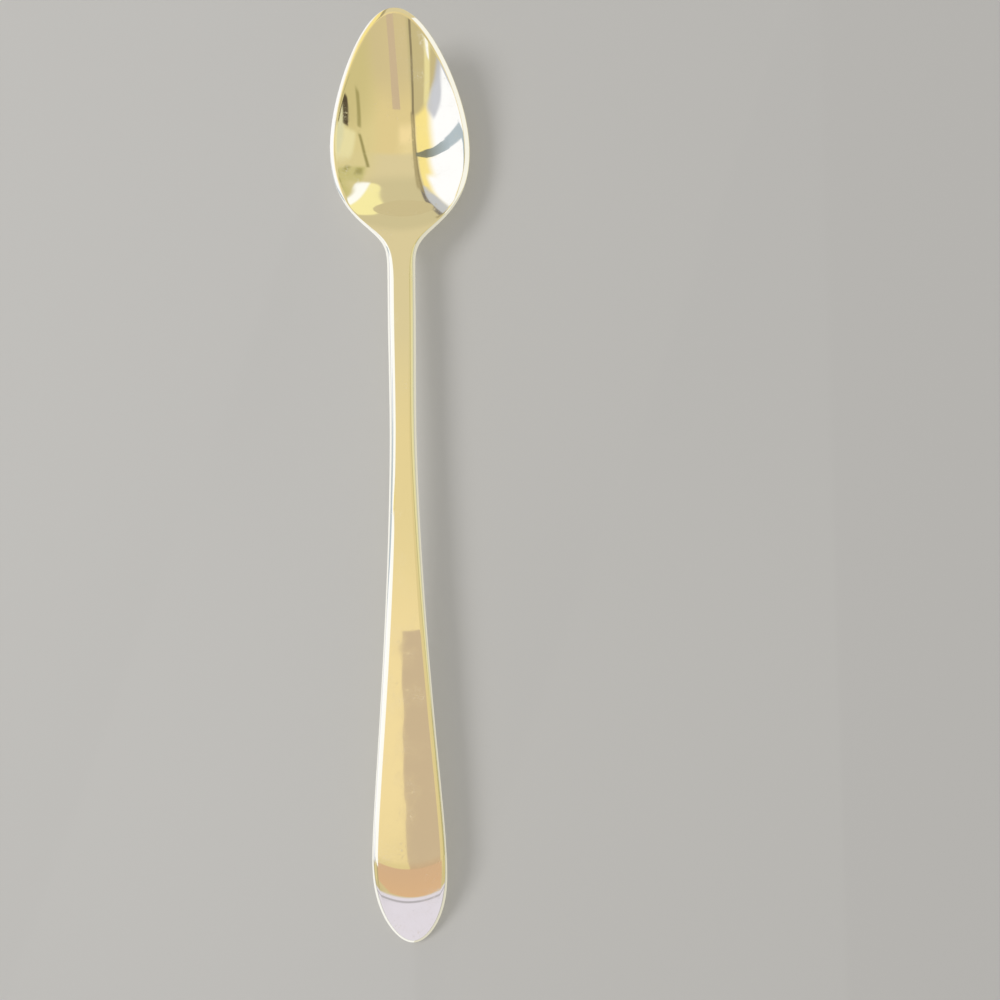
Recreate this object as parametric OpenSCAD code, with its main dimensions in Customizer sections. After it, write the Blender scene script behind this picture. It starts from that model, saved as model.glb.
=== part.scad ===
// Iced tea spoon: one forging of polished stainless steel, drawn as five regions that meet at flat
// cross-sections. X is across, Y runs from the tip of the handle to the point of the bowl, Z is up.
// The spoon lies on the plane z = 0, on the underside of its bowl and the tip of its handle.

/* [Overall] */
// Length from the tip of the handle to the point of the bowl
total_l = 190; // [170:1:210]

/* [Bowl] */
// Width of the bowl over its rim
bowl_w = 28.9; // [25:0.1:32]
// Length of the bowl's egg outline, from its point to where it closes at the heel
bowl_l = 42.3; // [40:0.1:48]
// Depth of the hollow below the rim
bowl_depth = 7; // [5:0.1:8]
// Length over which the hollow gets shallower towards the heel
shallow_run = 26; // [18:0.5:32]
// Thickness of the metal at the bottom of the bowl
bowl_wall = 1.15; // [0.8:0.05:1.6]
// Width of the face of the rim
rim_w = 1.1; // [0.8:0.05:1.6]
// Height of the outer edge of the rim
rim_h = 0.9; // [0.6:0.05:1.4]
// Outward slant of the face of the rim, in degrees
rim_slant = 14; // [0:1:20]
// How far the rim climbs from its lowest place to the point
point_rise = 9.1; // [6:0.1:10]
// Distance along the bowl from the point to the lowest place of the rim
rim_low_l = 35; // [32:0.5:38]
// How far the underside is rubbed flat where the bowl rests
rest_flat_h = 0.15; // [0.1:0.01:0.2]

/* [Neck] */
// Softness of the shoulders, where the egg outline runs into the stem
shoulder_soft = 7.2; // [5:0.1:8]
// Length of the neck, from the heel of the bowl towards the handle
neck_l = 14; // [12:0.5:18]
// Width of the neck
neck_w = 5.7; // [5:0.1:7]
// Thickness at the neck
neck_t = 3; // [2.6:0.1:3.6]
// Length over which the hollow fades out behind the heel
heel_run = 8; // [5:0.5:10]
// Length over which the neck thins down to the rim
thin_run = 15; // [12:0.5:18]
// Distance behind the heel at which the arch of the stem starts to run into the curve of the rim
rim_start_l = 9; // [5:0.1:10]
// Length over which the arch of the stem runs into the curve of the rim
rim_start_run = 22; // [15:0.5:24]
// Width of the face of the rim at the shoulders, where it is narrowest
shoulder_rim_w = 0.4; // [0.3:0.05:0.8]
// Distance behind the heel at which the rounded edge of the neck starts to narrow
narrow_l = 12; // [9:0.5:12]
// Length over which it narrows
narrow_run = 14; // [12:0.5:16]
// Distance past the heel at which the rim starts to widen again
widen_l = 3.5; // [3:0.5:6]
// Length over which it widens
widen_run = 7.5; // [6:0.5:12]
// Length of the shoulders, from the heel of the bowl towards its point
shoulder_l = 6; // [4:0.5:9]

/* [Stem] */
// Narrowest width of the stem
stem_w = 5.4; // [4.8:0.1:6.5]
// Height of the top of the arch over the table
arch_h = 9.5; // [8.5:0.1:11]
// Distance from the tip of the handle to the top of the arch
arch_l = 88; // [80:1:96]
// Fall of the arch from its top to the bend at the tip of the handle
arch_fall = 2; // [1.5:0.1:2.6]

/* [Handle] */
// Length of the broad part of the handle, tip included
handle_l = 75; // [65:1:85]
// Distance from the tip of the handle to where the flare starts
flare_l = 106.8; // [95:0.1:115]
// Width that the flare would reach if the tip weren't rounded off
flare_w = 20.2; // [17:0.1:23]
// Thickness of the handle where it meets the tip
handle_t = 2; // [1.6:0.1:2.6]

/* [Tip] */
// Length of the tip, from its end to past the bend
tip_l = 20; // [18:0.5:24]
// Radius of the end of the tip, seen from above
tip_r = 3; // [2:0.1:4]
// Distance from the end of the tip to the middle of the bend
bend_l = 14.2; // [13:0.1:17]
// Slope of the turned-down tip, in degrees
tip_drop = 23.7; // [18:0.1:28]
// Length of the handle over which the bend is rounded
bend_run = 8; // [4:0.5:12]
// Radius of the crosswise curve of the turned-down tip
tip_crown_r = 30; // [24:1:60]
// Thickness at the end of the tip
tip_t = 1.6; // [1.2:0.1:2]

/* [Hidden] */
steel = "silver";

// Shares that shape the curves
egg_power_share = 2.6;
flare_power_share = 1.61;
tip_power_share = 2;
hollow_round_share = 2.5;
// Share of its depth that the hollow loses at the heel
shallow_share = 0.85;
edge_share = 0.72;
rim_under_share = 0.35;
// Least share of a section's half width that its flat part keeps near the two ends
flat_least_share = 0.3;
// Shares of the bowl's length between which the shoulder's softness comes in
shoulder_in_share = 0.3;
shoulder_full_share = 0.7;
// Share of the neck's thinning that lies behind the heel
thin_back_share = 0.25;
// Exponent past which the soft maximum is plain
plain_share = 30;
// Share of the length over which a slope is measured
slope_step_share = 0.00005;

// Planes between the regions
point_y = total_l / 2;
end_y = -total_l / 2;
heel_y = point_y - bowl_l;
neck_y = heel_y - neck_l;
handle_y = end_y + handle_l;
tip_y = end_y + tip_l;

// Stations along each region, and points across a quarter of a section
shoulder_rings = 8;
bowl_rings = 32;
neck_rings = 12;
stem_rings = 14;
handle_rings = 16;
tip_rings = 18;
flat_points = 8;
edge_points = 4;
search_steps = 200;

// Eased step from 0 to 1
function eased(t) = let (c = min(1, max(0, t))) c * c * c * (10 - 15 * c + 6 * c * c);
function mix(a, b, t) = a + (b - a) * t;
function soft_plus(t) = t > plain_share ? t : ln(1 + exp(t));

// Outline seen from above: the square of the half width at a place along the spoon.
// The bowl is an egg, u * (1 - u^n), brought to its width by its own highest value.
egg_top_share = pow(1 / (egg_power_share + 1), 1 / egg_power_share);
egg_peak_share = egg_top_share * egg_power_share / (egg_power_share + 1);
function egg_sq(u) = pow(bowl_w / 2, 2) * u * (1 - pow(u, egg_power_share)) / egg_peak_share;
flare_y = end_y + flare_l;
function bar_half(y) =
    y < flare_y ? mix(stem_w / 2, flare_w / 2, pow((flare_y - y) / flare_l, flare_power_share))
                : mix(stem_w / 2, neck_w / 2, eased((y - flare_y) / (neck_y - flare_y)));
function shoulder_sq(u) =
    let (egg = egg_sq(u), soft = pow(shoulder_soft, 2),
         share = (u - shoulder_in_share) / (shoulder_full_share - shoulder_in_share))
    egg + soft * eased(share) * soft_plus((pow(bar_half(point_y - u * bowl_l), 2) - egg) / soft);
function tip_sq(y) =
    let (flare = pow(bar_half(y), 2), arc = 2 * tip_r * max(0, y - end_y), m = tip_power_share)
    flare * arc / pow(pow(flare, m) + pow(arc, m), 1 / m);
function half_sq(y) = y < 0 ? tip_sq(y) : shoulder_sq(max(0, point_y - y) / bowl_l);
slope_step = total_l * slope_step_share;
function half_sq_slope(y) =
    let (a = max(end_y, y - slope_step), b = min(point_y, y + slope_step))
    (half_sq(b) - half_sq(a)) / (b - a);

// How much of a place belongs to the bowl: the hollow's depth, and the thin rim
function hollow_part(y) =
    let (lack = max(0, 1 - (y - heel_y) / shallow_run))
    eased((y - heel_y + heel_run) / heel_run) * (1 - shallow_share * lack * lack);
thin_y = heel_y - thin_run * thin_back_share;
function rim_part(y) = eased((y - thin_y) / thin_run);
function bar_t(y) =
    y < tip_y ? mix(tip_t, handle_t, (y - end_y) / tip_l)
              : mix(handle_t, neck_t, eased((y - tip_y) / (neck_y - tip_y)));
function edge_t(y) = mix(bar_t(y), rim_h, rim_part(y));
function edge_w(y) =
    let (narrow = eased((y - heel_y + narrow_l) / narrow_run),
         wide = eased((y - heel_y - widen_l) / widen_run))
    mix(mix(edge_share * bar_t(y), shoulder_rim_w, narrow), rim_w, wide);
function under_edge_w(y) = mix(edge_share * bar_t(y), rim_under_share * rim_w, rim_part(y));

// Distance of a point inside the outline from the outline, to first order
function inset(x, y) =
    let (m = half_sq_slope(y)) max(0, half_sq(y) - x * x) / sqrt(4 * x * x + m * m);
// Square of the half width of the contour that lies a given distance inside the outline
function inner_sq(y, e) =
    let (sq = half_sq(y), m = half_sq_slope(y)) sq + 2 * e * e - e * sqrt(4 * (sq + e * e) + m * m);

// Height of the hollow over its deepest place, from 0 at the rim to 1 at the middle
function bowl_curve(q) =
    let (c = hollow_round_share) (sqrt(c * c + max(0, q)) - c) / (sqrt(c * c + 1) - c);
function hollow(x, y) =
    hollow_part(y) * bowl_curve((inner_sq(y, edge_w(y)) - x * x) / pow(bowl_w / 2 - rim_w, 2));
function outer(x, y) = hollow_part(y) * bowl_curve((half_sq(y) - x * x) / pow(bowl_w / 2, 2));
function under_fall(x, y) = edge_t(y) + (bowl_depth + bowl_wall - edge_t(y)) * outer(x, y);

// Top line along the middle: the rim's own curve, the arch of the stem and the turned-down tip.
// The rim stands as high as lets the underside of the bowl reach the table.
rim_low_y = point_y - rim_low_l;
function rim_climb(y) = point_rise * pow((y - rim_low_y) / rim_low_l, 2);
rim_z = max([for (i = [0 : search_steps])
    let (y = mix(heel_y, point_y, i / search_steps)) under_fall(0, y) - rim_climb(y)]) - rest_flat_h;
arch_y = end_y + arch_l;
function arch_z(y) = arch_h - arch_fall * pow((y - arch_y) / (arch_l - bend_l), 2);
rim_start_y = heel_y - rim_start_l;
function spine_z(y) = mix(arch_z(y), rim_z + rim_climb(y), eased((y - rim_start_y) / rim_start_run));
bend_y = end_y + bend_l;
function slope_z(x, y) =
    arch_z(bend_y) + tan(tip_drop) * (y - bend_y) - x * x / (2 * tip_crown_r);
// The turned-down tip is lowered until the rounded edge of its end touches the table
tip_gap = min([for (i = [0 : search_steps])
    let (y = mix(end_y, tip_y, i / search_steps))
    slope_z(0, y) - bar_t(y) / 2 * (1 + round_off(inset(0, y), under_edge_w(y)))]);
function facet_z(x, y) = slope_z(x, y) - tip_gap;
// The lower of two heights, with the corner between them rounded where they are nearly alike
function lower_of(a, b, reach) = min(a, b) - reach * pow(max(0, 1 - abs(a - b) / reach), 2) / 4;
function line_z(x, y) = lower_of(spine_z(y), facet_z(x, y), bend_run / 2 * tan(tip_drop));

// Full surfaces before their edges are rounded, then the rounded ones
function round_off(d, e) = let (f = 1 - min(1, d / e)) sqrt(1 - f * f);
function face_z(x, y) =
    line_z(x, y) - bowl_depth * hollow(x, y)
    - tan(rim_slant) * rim_part(y) * max(0, edge_w(y) - inset(x, y));
function back_z(x, y) = line_z(x, y) - under_fall(x, y);
function top_z(x, y) =
    let (a = face_z(x, y), b = back_z(x, y))
    max(0, (a + b) / 2 + (a - b) / 2 * round_off(inset(x, y), edge_w(y)));
function under_z(x, y) =
    let (a = face_z(x, y), b = back_z(x, y))
    max(0, (a + b) / 2 - (a - b) / 2 * round_off(inset(x, y), under_edge_w(y)));

// Places across half a section, from the middle out: the flat part, then the rounded edge
function across(y, e) =
    let (w = sqrt(half_sq(y)), flat = sqrt(max(inner_sq(y, e), pow(flat_least_share * w, 2))))
    concat([for (i = [0 : flat_points - 1]) flat * i / flat_points],
           [for (i = [0 : edge_points]) mix(flat, w, sin(90 * i / edge_points))]);
half_count = flat_points + edge_points;
side_count = 2 * half_count;

// One closed section: over the top from left to right, then back along the underside
function ring(y) =
    let (over = across(y, edge_w(y)), back = across(y, under_edge_w(y)))
    concat([for (i = [-half_count : half_count - 1])
               let (x = sign(i) * over[abs(i)]) [x, y, top_z(x, y)]],
           [for (i = [-half_count : half_count - 1])
               let (x = -sign(i) * back[abs(i)]) [x, y, under_z(x, y)]]);

// Faces between two rings, over a flat end, and from a ring to a single end point
function band_faces(first, second) =
    let (n = 2 * side_count)
    [for (i = [0 : n - 1]) let (j = (i + 1) % n)
        each [[first + i, second + i, second + j], [first + i, second + j, first + j]]];
function cap_faces(first, forward) =
    let (n = 2 * side_count)
    [for (i = [0 : side_count - 1])
        let (a = first + i, b = first + i + 1, c = first + (n - i - 1) % n, d = first + (n - i) % n)
        each [if (i < side_count - 1) forward ? [a, c, b] : [a, b, c],
              if (i > 0) forward ? [a, d, c] : [a, c, d]]];
function point_faces(first, tip_index) =
    let (n = 2 * side_count)
    [for (i = [0 : n - 1]) [first + i, tip_index, first + (i + 1) % n]];

// A length of the spoon between flat sections at the listed places
module length_of_spoon(places) {
    n = 2 * side_count;
    last = (len(places) - 1) * n;
    polyhedron(
        points = [for (y = places) each ring(y)],
        faces = concat([for (k = [0 : len(places) - 2]) each band_faces(k * n, (k + 1) * n)],
                       cap_faces(0, false), cap_faces(last, true)));
}

// A length of the spoon that runs from a flat section to a rounded end
module end_of_spoon(places, tip_place, forward) {
    n = 2 * side_count;
    last = (len(places) - 1) * n;
    faces = concat([for (k = [0 : len(places) - 2]) each band_faces(k * n, (k + 1) * n)],
                   cap_faces(0, false), point_faces(last, last + n));
    polyhedron(
        points = concat([for (y = places) each ring(y)],
                        [[0, tip_place, (top_z(0, tip_place) + under_z(0, tip_place)) / 2]]),
        faces = forward ? faces : [for (f = faces) [f[0], f[2], f[1]]]);
}

// Evenly spaced places, and places that close up towards the second one
function even_places(a, b, count) = [for (i = [0 : count]) mix(a, b, i / count)];
function closing_places(a, b, count) = [for (i = [0 : count - 1]) mix(a, b, sin(90 * i / count))];

// The bowl: shoulders, egg outline, slanted rim and oval hollow
module bowl() {
    shoulder_y = heel_y + shoulder_l;
    shoulders = [for (i = [0 : shoulder_rings - 1]) mix(heel_y, shoulder_y, i / shoulder_rings)];
    color(steel)
        end_of_spoon(concat(shoulders, closing_places(shoulder_y, point_y, bowl_rings)), point_y, true);
}

// The neck: the thick root of the stem, behind the heel of the bowl
module neck() {
    color(steel)
        length_of_spoon(even_places(neck_y, heel_y, neck_rings));
}

// The stem: the slim arch
module stem() {
    color(steel)
        length_of_spoon(even_places(handle_y, neck_y, stem_rings));
}

// The handle: the flared, thinner part
module handle() {
    color(steel)
        length_of_spoon(even_places(tip_y, handle_y, handle_rings));
}

// The tip: past the bend, turned down to the table
module tip() {
    color(steel)
        end_of_spoon(closing_places(tip_y, end_y, tip_rings), end_y, false);
}

bowl();
neck();
stem();
handle();
tip();
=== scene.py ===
from math import cos, degrees, pi, radians, sin, tan
import bpy
import numpy as np
from mathutils import Matrix, Vector


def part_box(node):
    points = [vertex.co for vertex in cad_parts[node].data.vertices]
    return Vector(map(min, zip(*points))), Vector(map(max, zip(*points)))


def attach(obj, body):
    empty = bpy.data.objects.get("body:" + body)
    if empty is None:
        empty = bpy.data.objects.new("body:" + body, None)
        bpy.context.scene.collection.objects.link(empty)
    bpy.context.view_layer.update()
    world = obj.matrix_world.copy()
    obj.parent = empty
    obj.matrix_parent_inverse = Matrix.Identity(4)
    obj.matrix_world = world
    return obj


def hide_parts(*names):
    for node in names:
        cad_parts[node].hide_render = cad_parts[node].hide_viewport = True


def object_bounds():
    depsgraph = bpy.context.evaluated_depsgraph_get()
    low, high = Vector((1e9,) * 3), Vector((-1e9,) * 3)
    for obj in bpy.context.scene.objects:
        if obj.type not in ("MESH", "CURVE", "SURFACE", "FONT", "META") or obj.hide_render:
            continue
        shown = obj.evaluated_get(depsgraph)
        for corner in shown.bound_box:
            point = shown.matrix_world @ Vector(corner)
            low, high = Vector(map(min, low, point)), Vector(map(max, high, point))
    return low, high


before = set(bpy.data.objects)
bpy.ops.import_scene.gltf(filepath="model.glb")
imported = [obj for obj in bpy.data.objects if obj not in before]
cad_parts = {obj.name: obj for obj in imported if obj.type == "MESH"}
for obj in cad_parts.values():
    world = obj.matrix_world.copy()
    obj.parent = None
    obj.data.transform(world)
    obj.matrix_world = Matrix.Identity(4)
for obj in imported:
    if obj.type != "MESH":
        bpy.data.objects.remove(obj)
cad_low, cad_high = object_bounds()
scene = bpy.context.scene
mm = 0.001


# Stem and handle
# A bar of stainless steel, forged flat on top, arched, and flared and thinned towards the end.
# The polishing wheel has rounded its edges and left the whole skin like a mirror.
total_l = (cad_high[1] - cad_low[1]) / mm
end_y = -total_l / 2
point_y = total_l / 2
tip_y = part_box("handle")[0].y / mm
handle_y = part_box("stem")[0].y / mm
neck_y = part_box("neck")[0].y / mm
stem_w = 5.4
neck_w = 5.7
flare_w = 20.2
flare_y = end_y + 106.8
flare_power = 1.61
neck_t = 3.0
handle_t = 2.0
tip_t = 1.6
arch_h = 9.5
arch_fall = 2.0
arch_y = end_y + 88.0
bend_y = end_y + 14.2
tip_r = 3.0
edge_share = 0.72
flat_least_share = 0.3
flat_turn = 0.7
flat_points = 29
edge_points = 13
slope_step = total_l * 0.00005
ring_step = 1e-5
turn_step = 1e-4
least_length = 1e-12
stem_rings = 80
handle_rings = 100


def eased(t):
    """Step from 0 to 1 with no kink: t cubed times (10 - 15 t + 6 t squared)."""
    t = np.clip(t, 0, 1)
    return t**3 * (10 - 15 * t + 6 * t**2)


def mix(a, b, t):
    """From a at t = 0 to b at t = 1."""
    return a + (b - a) * t


def bar_half(y):
    """Half width of the bar: eased from stem to neck, and towards the handle's end widened by a
    power of how far the place lies past the start of the flare."""
    slim = mix(stem_w, neck_w, eased((y - flare_y) / (neck_y - flare_y))) / 2
    return mix(slim, flare_w / 2, (np.maximum(0, flare_y - y) / (flare_y - end_y)) ** flare_power)


def bar_sq(y):
    """Square of the half width: the flare's f and the end's round arc a = 2 r (y - end), joined as
    f a / sqrt(f squared + a squared), which follows whichever is the smaller."""
    flare = bar_half(y) ** 2
    arc = 2 * tip_r * np.maximum(0, y - end_y)
    return np.where(y < 0, flare * arc / np.hypot(flare, arc), flare)


def bar_t(y):
    """Thickness: straight from the end to the bend, then eased up to the neck."""
    thin = mix(tip_t, handle_t, (y - end_y) / (tip_y - end_y))
    return np.where(y < tip_y, thin, mix(handle_t, neck_t, eased((y - tip_y) / (neck_y - tip_y))))


def arch_z(y):
    """Height of the top along the middle: a parabola with its crown at arch_y."""
    return arch_h - arch_fall * ((y - arch_y) / (arch_y - bend_y)) ** 2


def bar_faces(x, y, depth):
    """Heights of the top and the underside before their edges are rounded."""
    return arch_z(y) + 0 * x, arch_z(y) - bar_t(y) + 0 * x


def bar_edges(y):
    """Widths of the rounded edges of the top and the underside: a share of the thickness."""
    return edge_share * bar_t(y), edge_share * bar_t(y)


def slope_of(half_sq, y):
    """Slope of the squared half width along the spoon, by a central difference."""
    a = np.maximum(end_y, y - slope_step)
    b = np.minimum(point_y, y + slope_step)
    return (half_sq(b) - half_sq(a)) / (b - a)


def inside_sq(half_sq, y, e):
    """Squared half width of the line that lies e inside the outline: with s the squared half width
    and m its slope, s + 2 e e - e sqrt(4 (s + e e) + m m)."""
    s = half_sq(y)
    m = slope_of(half_sq, y)
    return s + 2 * e * e - e * np.sqrt(4 * (s + e * e) + m * m)


def rounded(depth, e):
    """Share of the full height at a depth inside the outline: sqrt(1 - (1 - depth / e) squared)."""
    return np.sqrt(1 - (1 - np.clip(depth / e, 0, 1)) ** 2)


def skin(y, turn, half_sq, faces, edges):
    """Points of the closed section at y. A turn runs from -1 to 1 over the top, from left to right,
    and from 1 to 3 back along the underside. Up to flat_turn x grows evenly to where the edge
    starts, then as a sine to the outline. The height is the middle of the two faces, plus or minus
    half their distance times the rounded share."""
    turn = (turn + 1) % 4 - 1
    over = turn <= 1
    side = np.where(over, turn, 2 - turn)
    top_e, under_e = edges(y)
    e = np.where(over, top_e, under_e)
    wide = np.sqrt(half_sq(y))
    flat = np.sqrt(np.maximum(inside_sq(half_sq, y, e), (flat_least_share * wide) ** 2))
    even = np.abs(side) / flat_turn
    outer = np.sin(pi / 2 * np.clip((np.abs(side) - flat_turn) / (1 - flat_turn), 0, 1))
    x = np.sign(side) * np.where(even < 1, flat * even, mix(flat, wide, outer))
    m = slope_of(half_sq, y)
    depth = np.maximum(0, half_sq(y) - x * x) / np.sqrt(4 * x * x + m * m)
    top, under = faces(x, y, depth)
    z = (top + under) / 2 + np.where(over, 1, -1) * (top - under) / 2 * rounded(depth, e)
    return np.stack(np.broadcast_arrays(x, y, np.maximum(0, z)), axis=-1)


def round_section():
    """Turns of the points round a section, closer together on the rounded edges."""
    flat = np.linspace(0, flat_turn, flat_points)
    side = np.append(flat, np.linspace(flat_turn, 1, edge_points)[1:])
    over = np.append(-side[:0:-1], side)[:-1]
    return np.append(over, over + 2)


def forged(name, start, stop, rings, half_sq, faces, edges, round_end=False):
    """A closed length of the spoon from start to stop, as a grid of turns round it and rings along
    it. The rings are even between flat ends, and gather as a sine towards a round end. A flat end is
    closed with a strip from its top to its underside, a round one with triangles to a pole. Normals
    are the cross product of the skin's slopes round and along it, by central differences, so that
    neighbouring lengths shade as one."""
    def at(r, turn):
        y = mix(start, stop, np.sin(pi / 2 * r) if round_end else r)
        return skin(y, turn, half_sq, faces, edges)

    ahead = np.sign(stop - start)
    turn = round_section()[None, :]
    ring = np.linspace(0, 1, rings + 1)[:, None]
    ring = ring[:-1] if round_end else ring
    points = at(ring, turn)
    along = at(ring + ring_step, turn) - at(ring - ring_step, turn)
    round_it = at(ring, turn + turn_step) - at(ring, turn - turn_step)
    normals = np.cross(round_it, along) * ahead
    normals /= np.maximum(np.linalg.norm(normals, axis=-1, keepdims=True), least_length)
    count = turn.size
    half = count // 2
    grid = np.arange(points.size // 3).reshape(-1, count)
    points = points.reshape(-1, 3)
    normals = normals.reshape(-1, 3)
    rows = (grid[:-1], np.roll(grid[:-1], -1, 1), np.roll(grid[1:], -1, 1), grid[1:])
    faces_made = [np.stack(rows, axis=-1).reshape(-1, 4)]
    shades = [normals[faces_made[0]]]
    for ring_end, outward in ((grid[0][::-1], -ahead), (grid[-1], ahead)):
        if outward == ahead and round_end:
            pole = len(points)
            points = np.append(points, [[0, stop, points[grid[-1], 2].mean()]], axis=0)
            normals = np.append(normals, [[0, ahead, 0]], axis=0)
            faces_made.append(np.stack([grid[-1], np.roll(grid[-1], -1), grid[-1] * 0 + pole], axis=-1))
            shades.append(normals[faces_made[-1]])
            continue
        going = ring_end[:half + 1]
        coming = np.append(ring_end[:1], ring_end[:half - 1:-1])
        strip = np.stack([going[1:-2], going[2:-1], coming[2:-1], coming[1:-2]], axis=-1)
        corners = np.array([[going[0], going[1], coming[1]], [going[-2], going[-1], coming[-2]]])
        for cap in (strip, corners):
            faces_made.append(cap)
            shades.append(np.full(cap.shape + (3,), [0.0, outward, 0.0]))
    polygons = []
    corner_normals = []
    for shape, shade in zip(faces_made, shades):
        order = slice(None) if ahead > 0 else slice(None, None, -1)
        polygons += shape[:, order].tolist()
        corner_normals += shade[:, order].reshape(-1, 3).tolist()
    mesh = bpy.data.meshes.new(name)
    mesh.from_pydata(np.clip(points * mm, cad_low, cad_high).tolist(), [], polygons)
    mesh.shade_smooth()
    mesh.normals_split_custom_set(corner_normals)
    piece = bpy.data.objects.new(name, mesh)
    scene.collection.objects.link(piece)
    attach(piece, "root")
    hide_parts(name)
    return piece


def hex_rgb(text):
    """Linear colour of an sRGB hex colour: c / 12.92, or ((c + 0.055) / 1.055) to the power 2.4."""
    parts = [int(text[i:i + 2], 16) / 255 for i in (1, 3, 5)]
    return [c / 12.92 if c <= 0.04045 else ((c + 0.055) / 1.055) ** 2.4 for c in parts] + [1.0]


def add_node(tree, kind, inputs=None, output=0, **settings):
    """Adds a node with its settings, and gives one of its outputs if it has any. Each of its inputs
    is a constant or another node's output."""
    made = tree.nodes.new(kind)
    for key, value in settings.items():
        setattr(made, key, value)
    for key, value in (inputs or {}).items():
        if isinstance(value, bpy.types.NodeSocket):
            tree.links.new(value, made.inputs[key])
        else:
            made.inputs[key].default_value = value
    return made.outputs[output] if len(made.outputs) else None


# The buffing wheel leaves the steel a nearly white mirror that shows the room sharp, with a slight
# waviness. Use has drawn hairlines on it in four directions, which dull it in worn places. Angles
# are in degrees and lengths in mm.
steel_colour = "#EDECE9"
mirror_roughness = 0.03
scratch_roughness = 0.35
scratch_kinds = ((17, 0.3), (74, 0.3), (128, 0.4), (-8, 0.35))
scratch_stretch = 60
scratch_waves = 0.03
scratch_thin = 0.012
patch_l = 4.55
worn_from = 0.42
worn_full = 0.7
wave_l = 7.7
wave_h = 0.03


def polished_steel():
    """Mirror-polished stainless steel with hairline scratches from use and a slight waviness."""
    material = bpy.data.materials.new("polished stainless steel")
    material.use_nodes = True
    tree = material.node_tree
    shader = tree.nodes["Principled BSDF"]
    shader.inputs["Base Color"].default_value = hex_rgb(steel_colour)
    shader.inputs["Metallic"].default_value = 1.0
    place = add_node(tree, "ShaderNodeTexCoord", output="Object")

    def scratches(angle, grit):
        """Lines where a noise passes its middle. Its waves are some 33 grits long, 10 to 13 mm, and
        60 times narrower. That is coarser than real hairlines, so that they show."""
        turn = {"Vector": place, "Rotation": (0, 0, radians(angle))}
        turned = add_node(tree, "ShaderNodeMapping", turn)
        stretch = {"Vector": turned, "Scale": (1 / (grit * mm), scratch_stretch / (grit * mm), 0)}
        stretched = add_node(tree, "ShaderNodeMapping", stretch)
        grain = {"Vector": stretched, "Scale": scratch_waves, "Detail": 0.0}
        field = add_node(tree, "ShaderNodeTexNoise", grain)
        off = add_node(tree, "ShaderNodeMath", {0: field, 1: 0.5}, operation="SUBTRACT")
        away = add_node(tree, "ShaderNodeMath", {0: off}, operation="ABSOLUTE")
        line = {"Value": away, "From Min": scratch_thin, "From Max": 0.0}
        return add_node(tree, "ShaderNodeMapRange", line)

    lines = 0.0
    for angle, grit in scratch_kinds:
        both = {0: lines, 1: scratches(angle, grit)}
        lines = add_node(tree, "ShaderNodeMath", both, operation="MAXIMUM")
    spots = {"Vector": place, "Scale": 1 / (patch_l * mm), "Detail": 2.0}
    patches = add_node(tree, "ShaderNodeTexNoise", spots)
    wear = {"Value": patches, "From Min": worn_from, "From Max": worn_full}
    worn = add_node(tree, "ShaderNodeMapRange", wear)
    marks = add_node(tree, "ShaderNodeMath", {0: lines, 1: worn}, operation="MULTIPLY")
    dulling = {"Value": marks, "To Min": mirror_roughness, "To Max": scratch_roughness}
    tree.links.new(add_node(tree, "ShaderNodeMapRange", dulling), shader.inputs["Roughness"])
    swell = {"Vector": place, "Scale": 1 / (wave_l * mm), "Detail": 1.0}
    waves = add_node(tree, "ShaderNodeTexNoise", swell)
    uneven = {"Height": waves, "Strength": 1.0, "Distance": wave_h * mm}
    tree.links.new(add_node(tree, "ShaderNodeBump", uneven), shader.inputs["Normal"])
    return material


steel = polished_steel()
stem = forged("stem", handle_y, neck_y, stem_rings, bar_sq, bar_faces, bar_edges)
handle = forged("handle", tip_y, handle_y, handle_rings, bar_sq, bar_faces, bar_edges)
for piece in (stem, handle):
    piece.data.materials.append(steel)


# Tip
# The last of the handle, bent down to the table past a soft ridge and domed from side to side.
# It is the same forging, pressed over an edge after rolling, and its corners are well rounded.
tip_drop = radians(23.7)
bend_run = 8.0
tip_crown_r = 30.0
probe_count = 201
tip_rings = 110


def lower_of(a, b, k):
    """The lower of two heights, with the crossing rounded off over a difference of k."""
    return np.minimum(a, b) - k * np.maximum(0, 1 - np.abs(a - b) / k) ** 2 / 4


def slope_z(x, y):
    """The slope past the bend: straight down at tip_drop, and domed by x squared / (2 r)."""
    return arch_z(bend_y) + tan(tip_drop) * (y - bend_y) - x * x / (2 * tip_crown_r)


def end_gap():
    """How far the slope's underside would stay above the table."""
    y = np.linspace(end_y, tip_y, probe_count)[1:]
    half_sq = bar_sq(y)
    depth = half_sq / np.abs(slope_of(bar_sq, y))
    return (slope_z(0, y) - bar_t(y) / 2 * (1 + rounded(depth, edge_share * bar_t(y)))).min()


tip_gap = end_gap()


def tip_faces(x, y, depth):
    """The lower of the arch and of the slope, and the underside one thickness below it."""
    top = lower_of(arch_z(y) + 0 * x, slope_z(x, y) - tip_gap, bend_run / 2 * tan(tip_drop))
    return top, top - bar_t(y)


tip = forged("tip", tip_y, end_y, tip_rings, bar_sq, tip_faces, bar_edges, round_end=True)
tip.data.materials.append(steel)


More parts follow.
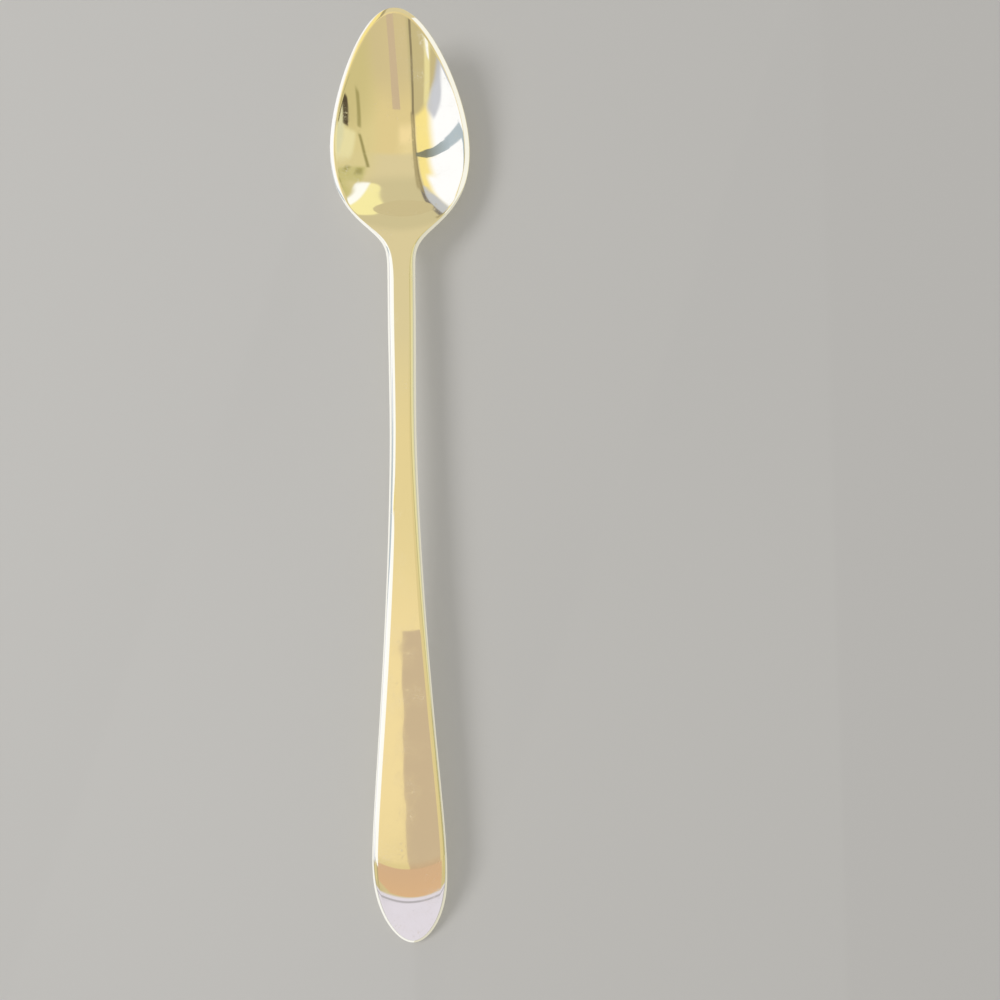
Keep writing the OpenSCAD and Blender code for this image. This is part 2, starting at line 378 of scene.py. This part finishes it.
# Neck and bowl
# An egg-shaped bowl with soft shoulders, a slanted rim and an oval hollow, and the thick neck that
# carries it. The bowl is pressed between dies from the rolled-out end of the same forging.
bowl_w = 28.9
bowl_l = 42.3
egg_power = 2.6
heel_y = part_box("bowl")[0].y / mm
bowl_depth = 7.0
bowl_wall = 1.15
hollow_round = 2.5
shallow_share = 0.85
shallow_run = 26.0
rim_w = 1.1
rim_h = 0.9
rim_under_share = 0.35
rim_slant = radians(14)
point_rise = 9.1
rim_low_l = 35.0
rim_low_y = point_y - rim_low_l
rest_flat_h = 0.15
shoulder_soft = 7.2
shoulder_in = 0.3
shoulder_full = 0.7
shoulder_rim_w = 0.4
heel_run = 8.0
thin_run = 15.0
thin_back_share = 0.25
rim_start_y = heel_y - 9.0
rim_start_run = 22.0
narrow_y = heel_y - 12.0
narrow_run = 14.0
widen_y = heel_y + 3.5
widen_run = 7.5
neck_rings = 60
bowl_rings = 150


def egg_sq(u):
    """Squared half width of the egg at the share u of its length from the point: the square of half
    the bowl's width times u (1 - u to the power egg_power), over the highest value of that."""
    top = (1 / (egg_power + 1)) ** (1 / egg_power)
    return (bowl_w / 2) ** 2 * u * (1 - np.abs(u) ** egg_power) / (top * egg_power / (egg_power + 1))


def bowl_sq(y):
    """Squared half width of egg, shoulders and neck: the egg's plus an eased share of s times
    ln(1 + exp((bar's - egg's) / s)), with s the square of the shoulder's softness."""
    u = (point_y - y) / bowl_l
    egg = egg_sq(u)
    lack = (bar_half(y) ** 2 - egg) / shoulder_soft**2
    grown = shoulder_soft**2 * np.logaddexp(0, lack)
    return np.maximum(0, egg + grown * eased((u - shoulder_in) / (shoulder_full - shoulder_in)))


def rim_part(y):
    """0 on the neck and 1 where the wall of the bowl has thinned to its rim."""
    return eased((y - heel_y + thin_back_share * thin_run) / thin_run)


def bowl_edges(y):
    """Widths of the rounded edges: a share of the thickness on the neck, and the rim's beyond. The
    upper one narrows at the shoulders in between."""
    neck_e = edge_share * bar_t(y)
    shoulder_e = mix(neck_e, shoulder_rim_w, eased((y - narrow_y) / narrow_run))
    upper = mix(shoulder_e, rim_w, eased((y - widen_y) / widen_run))
    return upper, mix(neck_e, rim_under_share * rim_w, rim_part(y))


def hollow_at(y, room, half):
    """Depth share of the hollow: with c its roundness and q the room left as a share of the square
    of the half width, (sqrt(c c + q) - c) / (sqrt(c c + 1) - c). Towards the heel it loses up to
    its shallow share as a square, and behind the heel it fades out."""
    c = hollow_round
    curve = (np.sqrt(c * c + np.maximum(0, room) / half**2) - c) / (np.sqrt(c * c + 1) - c)
    lack = np.maximum(0, 1 - (y - heel_y) / shallow_run)
    return curve * eased((y - heel_y + heel_run) / heel_run) * (1 - shallow_share * lack**2)


def bowl_wall_fall(x, y):
    """How far the underside lies below the line of the rim."""
    edge = mix(bar_t(y), rim_h, rim_part(y))
    deep = hollow_at(y, bowl_sq(y) - x * x, bowl_w / 2)
    return edge + (bowl_depth + bowl_wall - edge) * deep


def rim_climb(y):
    """How far the rim's line has risen from its lowest place towards the point."""
    return point_rise * ((y - rim_low_y) / rim_low_l) ** 2


deepest = np.linspace(heel_y, point_y, probe_count)
rim_z = (bowl_wall_fall(0, deepest) - rim_climb(deepest)).max() - rest_flat_h


def bowl_faces(x, y, depth):
    """The line of arch and rim less the hollow and the rim's slant, and the underside."""
    line = mix(arch_z(y), rim_z + rim_climb(y), eased((y - rim_start_y) / rim_start_run))
    edge = bowl_edges(y)[0]
    deep = hollow_at(y, inside_sq(bowl_sq, y, edge) - x * x, bowl_w / 2 - rim_w)
    slant = tan(rim_slant) * rim_part(y) * np.maximum(0, edge - depth)
    return line - bowl_depth * deep - slant, line - bowl_wall_fall(x, y)


neck = forged("neck", neck_y, heel_y, neck_rings, bowl_sq, bowl_faces, bowl_edges)
bowl = forged("bowl", heel_y, point_y, bowl_rings, bowl_sq, bowl_faces, bowl_edges, round_end=True)
for piece in (neck, bowl):
    piece.data.materials.append(steel)


# Floor
# A plain pale table top of matt coated board, far wider than the picture. It spreads light evenly,
# so it shows the spoon's soft shadow and next to no shine.
floor_colour = "#CFCDC9"
floor_roughness = 0.9
floor_half = 30000.0
floor_mesh = bpy.data.meshes.new("floor")
floor_corners = [(-1, -1), (1, -1), (1, 1), (-1, 1)]
floor_points = [(x * floor_half * mm, y * floor_half * mm, 0) for x, y in floor_corners]
floor_mesh.from_pydata(floor_points, [], [(0, 1, 2, 3)])
floor = bpy.data.objects.new("floor", floor_mesh)
scene.collection.objects.link(floor)
board = bpy.data.materials.new("pale matt coated board")
board.use_nodes = True
board_shader = board.node_tree.nodes["Principled BSDF"]
board_shader.inputs["Base Color"].default_value = hex_rgb(floor_colour)
board_shader.inputs["Roughness"].default_value = floor_roughness
floor_mesh.materials.append(board)


# Camera
# A wide lens close above the spoon, nearly straight down, as in a hand-held picture of a table.
# Its place is in mm and its tilt and turn in degrees.
sensor_w = 36.0
lens_l = 36.108
nearest = 10.0
camera_at = Vector((19.538, -10.54, 212.05))
camera_tilt = 1.9556
camera_turn = -0.97915
camera_data = bpy.data.cameras.new("camera")
camera_data.sensor_width = sensor_w
camera_data.lens = lens_l
camera_data.clip_start = nearest * mm
camera = bpy.data.objects.new("camera", camera_data)
tilted = Matrix.Rotation(radians(camera_tilt), 4, "X") @ Matrix.Rotation(radians(camera_turn), 4, "Z")
camera.matrix_world = Matrix.Translation(camera_at * mm) @ tilted
scene.collection.objects.link(camera)
scene.camera = camera


# Light
# A soft studio, painted on a map of the sky that has the zenith in its middle and degrees from it
# as its unit. Reflections show a warm ceiling, two bright panels on the left with a dark gap between
# them, and plainer walls. All other light is even and soft, and the camera sees a plain backdrop.
even_strength = 0.55
mirror_strength = 1.19
backdrop_colour = "#D6D5D2"
world = bpy.data.worlds.new("studio")
scene.world = world
world.use_nodes = True
sky = world.node_tree
sky.nodes.clear()
ray = add_node(sky, "ShaderNodeTexCoord")
height = add_node(sky, "ShaderNodeSeparateXYZ", {0: ray}, output="Z")
from_top = add_node(sky, "ShaderNodeMath", {0: height}, operation="ARCCOSINE")
from_top = add_node(sky, "ShaderNodeMath", {0: from_top}, operation="DEGREES")
level = add_node(sky, "ShaderNodeVectorMath", {0: ray, 1: (1, 1, 0)}, operation="MULTIPLY")
level = add_node(sky, "ShaderNodeVectorMath", {0: level}, operation="NORMALIZE")
spot = add_node(sky, "ShaderNodeVectorMath", {0: level, "Scale": from_top}, operation="SCALE")


def beyond(angle, distance, soft):
    """0 to 1 as a direction passes a line on the map. The line lies at the distance, square to the
    angle, and is blurred evenly over a width."""
    across = (cos(radians(angle)), sin(radians(angle)), 0)
    sockets = {0: spot, 1: across}
    far = add_node(sky, "ShaderNodeVectorMath", sockets, output="Value", operation="DOT_PRODUCT")
    ends = {"Value": far, "From Min": distance - soft / 2, "From Max": distance + soft / 2}
    return add_node(sky, "ShaderNodeMapRange", ends, interpolation_type="SMOOTHSTEP")


def through(a, b, soft):
    """0 to 1 from the left to the right of the line from a to b on the map."""
    run = Vector(b) - Vector(a)
    across = Vector((run.y, -run.x)).normalized()
    return beyond(degrees(np.arctan2(across.y, across.x)), across.dot(Vector(a)), soft)


def over_colour(colour, hue, masks, share=1.0):
    """The colour with a card of another hue laid over it where all masks are 1."""
    cover = masks[0]
    for mask in masks[1:]:
        cover = add_node(sky, "ShaderNodeMath", {0: cover, 1: mask}, operation="MULTIPLY")
    if share < 1:
        cover = add_node(sky, "ShaderNodeMath", {0: cover, 1: share}, operation="MULTIPLY")
    sockets = {0: cover, 6: colour, 7: hex_rgb(hue)}
    return add_node(sky, "ShaderNodeMix", sockets, output=2, data_type="RGBA")


def card(colour, hue, corners, soft=2.0, share=1.0):
    """A convex card on the map, with its corners in clockwise order."""
    sides = [through(a, b, soft) for a, b in zip(corners, corners[1:] + corners[:1])]
    return over_colour(colour, hue, sides, share)


# The ceiling, warm overhead and a little greener on the right and towards the point
room = hex_rgb("#DECA90")
room = over_colour(room, "#E9D69C", [beyond(180, 2, 24), beyond(90, -20, 20)], 0.8)
lit_ceiling = [beyond(-90, 4, 12), beyond(90, -24, 12), beyond(180, 1, 10)]
room = over_colour(room, "#F3DCA2", lit_ceiling, 0.85)
room = over_colour(room, "#D9CA9B", [beyond(90, 12, 10)])
room = over_colour(room, "#CDC093", [beyond(90, 50, 22)])
room = over_colour(room, "#D9CB90", [beyond(0, 36, 30)], 0.8)
room = over_colour(room, "#CCBE84", [beyond(-45, 52, 24)])
room = over_colour(room, "#E6DCA6", [beyond(0, 61, 5), beyond(90, -8, 6), beyond(-90, -22, 12)])
room = over_colour(room, "#DAD5A8", [beyond(0, 73, 4)])
room = over_colour(room, "#CDBC8E", [beyond(-90, 42, 16), beyond(180, -36, 24)], 0.8)

# Bright cards and small dark strips low on the right wall
room = card(room, "#F6EBA6", [(3, 96), (34, 96), (34, 54), (26, 55), (17, 60), (9, 69), (5, 74)], 3)
room = card(room, "#FFFEF4", [(27, 66), (46, 58), (42, 50), (29, 54)], 3)
room = card(room, "#C2BA78", [(38, 51), (62, 42), (70, 30), (42, 32)], 5, 0.8)
room = card(room, "#9A9256", [(42, 42), (50, 40), (51, 33), (45, 34)], 4, 0.8)
room = card(room, "#958D55", [(58, 36), (62, 33), (62, 29), (57, 31)], 3, 0.7)
room = card(room, "#958C56", [(37.5, 33), (41, 33), (50, 14), (46.5, 14)], 2.5, 0.9)
room = card(room, "#958C56", [(46.5, 14), (50, 14), (58.5, -8), (55, -8)], 2.5, 0.9)
room = card(room, "#A0965E", [(55, -14), (59, -14), (57.5, -34), (53.5, -34)], 2.5, 0.9)
room = card(room, "#564B38", [(69, -9.5), (74, -9.5), (73, -26), (67.5, -26)], 2)

# The two bright panels on the left, with a yellow margin, and the greyer cards round them
room = over_colour(room, "#F8E390", [beyond(180, 29, 3), beyond(-90, -62, 4)])
room = over_colour(room, "#FFFFFF", [beyond(180, 52, 16)])
room = over_colour(room, "#FFFFFF", [beyond(180, 44, 14), beyond(90, 20, 8)])
room = over_colour(room, "#FFFFFF", [beyond(180, 36, 8), beyond(90, 47, 10)])
room = card(room, "#C6B786", [(-110, -38), (-23, -30), (-23, -110), (-110, -110)], 5)
room = card(room, "#EEE2A2", [(-51, -31), (-43, -33), (-52, -56), (-59, -50)], 4, 0.8)
room = card(room, "#BFC1C8", [(-69, -26), (-58, -20), (-47, -31), (-68, -38)], 5, 0.85)
room = card(room, "#B4C0C6", [(-69, 15), (-69, 2), (-90, -3), (-90, 9)], 2)
room = over_colour(room, "#C3C4C4", [beyond(180, 26, 3), beyond(90, 61, 2.5), beyond(0, -36, 4)])

# The edge between ceiling and left wall, a narrow strip that is darkest beyond the point
room = card(room, "#7C7468", [(-27.5, 110), (-24.5, 110), (-24.5, 61), (-27.5, 61)], 1.5)
room = card(room, "#AE9F74", [(-27.5, 63), (-21.5, 63), (-21.5, -34), (-27.5, -34)], 2)
room = card(room, "#94875F", [(-27.5, 63), (-25.5, 63), (-25.5, -34), (-27.5, -34)], 1.5, 0.7)
room = card(room, "#8F8362", [(-27, -32), (-23.5, -32), (-28, -62), (-31.5, -62)], 1.5)

# A lavender card behind the end of the handle, with a grey line on it
room = over_colour(room, "#E0DAE2", [beyond(-90, 61, 3)])
room = card(room, "#B2ADB0", [(-70, -64.4), (70, -64.4), (70, -66.4), (-70, -66.4)], 1.2)

even = {"Color": (1, 1, 1, 1), "Strength": even_strength}
even_light = add_node(sky, "ShaderNodeBackground", even)
seen = add_node(sky, "ShaderNodeBackground", {"Color": hex_rgb(backdrop_colour), "Strength": 1.0})
mirrored = add_node(sky, "ShaderNodeBackground", {"Color": room, "Strength": mirror_strength})
glossy = add_node(sky, "ShaderNodeLightPath", output="Is Glossy Ray")
direct = glossy.node.outputs["Is Camera Ray"]
light = add_node(sky, "ShaderNodeMixShader", {0: glossy, 1: even_light, 2: mirrored})
light = add_node(sky, "ShaderNodeMixShader", {0: direct, 1: light, 2: seen})
add_node(sky, "ShaderNodeOutputWorld", {0: light})


# Cards close to the spoon
# Small glowing boards and strips, as they are stood round polished cutlery in a studio. Only
# reflections show them: those of the rounded edges, the hollow and the handle, and a trace in the
# table's faint gloss.
def near_card(name, low, high, hue, far_hue=None, axis="Y", start=0.0, end=1.0):
    """A glowing card that only reflections show: a strip between two lines of points in mm. Where a
    far hue is given, its hue changes to that one from start to end along an axis, in mm as well."""
    material = bpy.data.materials.new(name)
    material.use_nodes = True
    tree = material.node_tree
    tree.nodes.clear()
    colour = hex_rgb(hue)
    if far_hue:
        place = add_node(tree, "ShaderNodeTexCoord", output="Object")
        along = add_node(tree, "ShaderNodeSeparateXYZ", {0: place}, output=axis)
        ends = {"Value": along, "From Min": start * mm, "From Max": end * mm}
        share = add_node(tree, "ShaderNodeMapRange", ends)
        hues = {0: share, 6: colour, 7: hex_rgb(far_hue)}
        colour = add_node(tree, "ShaderNodeMix", hues, output=2, data_type="RGBA")
    glow = add_node(tree, "ShaderNodeEmission", {"Color": colour, "Strength": mirror_strength})
    add_node(tree, "ShaderNodeOutputMaterial", {0: glow})
    low, high = (np.stack(np.broadcast_arrays(*line), axis=-1) for line in (low, high))
    count = len(low)
    quads = [(i, i + 1, count + i + 1, count + i) for i in range(count - 1)]
    mesh = bpy.data.meshes.new(name)
    mesh.from_pydata((np.concatenate([low, high]) * mm).tolist(), [], quads)
    mesh.materials.append(material)
    made = bpy.data.objects.new(name, mesh)
    made.visible_camera = False
    made.visible_diffuse = False
    made.visible_shadow = False
    scene.collection.objects.link(made)


# Just over the table, for a pale line along the lowest edges
low_z = 0.2
low_w = 90
low_ends = [-120, 120]
near_card("card_low_left", (-low_w, low_ends, low_z), (0, low_ends, low_z), "#F8F7F0")
near_card("card_low_right", (0, low_ends, low_z), (low_w, low_ends, low_z), "#DCD8C4")

# Over the handle, for the tan panel that it shows
above_x = [-18, 26]
above_near_y = -52
above_far_y = -260
above_z = 180
above_near = (above_x, above_near_y, above_z)
above_far = (above_x, above_far_y, above_z)
near_card("card_above", above_near, above_far, "#C9B391", "#C7A57E", start=-150, end=-200)

# Beyond the end of the handle, for the tan band at the bend
behind_x = [-60, 60]
behind_near_y = -138
behind_far_y = -262
behind_z = 107
behind_near = (behind_x, behind_near_y, behind_z)
behind_far = (behind_x, behind_far_y, behind_z)
near_card("card_behind", behind_near, behind_far, "#D2AE88", "#D9B287",
          start=behind_near_y, end=behind_far_y)

# On the left of the bowl, for the grey tail between the two bright panels
gap_x = -20
gap_z = [47, 40.6, 29.9, 23.2, 17.7, 13.6]
gap_near_y = [80.5, 79.7, 76.5, 75.6, 74.1, 73.9]
gap_far_y = [84.8, 83.8, 82.4, 80.3, 78.0, 76.6]
gap_near = (gap_x, gap_near_y, gap_z)
gap_far = (gap_x, gap_far_y, gap_z)
near_card("card_gap", gap_near, gap_far, "#84836C", "#AFBBC1", axis="Z", start=30, end=14)

# High on the left of the handle, for the white band on its edge
left_z = 70
left_far_x = -110
left_x = [-40, -17, -13.8, -14.5, -17, -18, -22, -26]
left_y = [-2, -9, -20, -57, -75, -92, -112, -125]
near_card("card_left", (left_x, left_y, left_z), (left_far_x, left_y, left_z), "#FFFEF6")

# Low on the left of the neck, following its outline, for the band on the edge there
side_z = 14
side_far_x = -16
side_over = 0.3
side_y = np.array([-4, 2, 12, 24, 44, 49, 52, 54.5])
side_back = np.array([5, 1.2, 0, 0, 0, 0, 0, 0])
side_x = side_over - np.sqrt(bowl_sq(side_y)) - side_back
near_card("card_neck", (side_x, side_y, side_z), (side_far_x, side_y, side_z), "#FFFEF6")

# A low wall along the right of the bowl, for the white of the rim there
beside_from_y = 56
beside_to_y = 93
beside_count = 20
beside_out = 1.09
beside_long = 1.05
beside_mid_y = 70
beside_low = 0.2
beside_high = 4.6
rim_y = np.linspace(beside_from_y, beside_to_y, beside_count)
beside_x = np.sqrt(bowl_sq(rim_y)) * beside_out
beside_y = beside_mid_y + (rim_y - beside_mid_y) * beside_long
beside_z = rim_z + rim_climb(rim_y)
beside_foot = (beside_x, beside_y, beside_z + beside_low)
beside_top = (beside_x, beside_y, beside_z + beside_high)
near_card("card_beside", beside_foot, beside_top, "#F8F6EA")


# Lamp
# A round soft lamp high on the left, which throws the spoon's shadow to the right. Reflections don't
# show it. Its size and place are in mm.
lamp_w = 500.0
lamp_power = 4.5
lamp_at = Vector((-800, 150, 900))
key_data = bpy.data.lights.new("key", "AREA")
key_data.shape = "DISK"
key_data.size = lamp_w * mm
key_data.energy = lamp_power
key = bpy.data.objects.new("key", key_data)
key.location = lamp_at * mm
key.rotation_euler = (-key.location).to_track_quat("-Z", "Y").to_euler()
key.visible_glossy = False
scene.collection.objects.link(key)


# Colours
# The picture's colours stay as they are lit.
scene.view_settings.view_transform = "Standard"
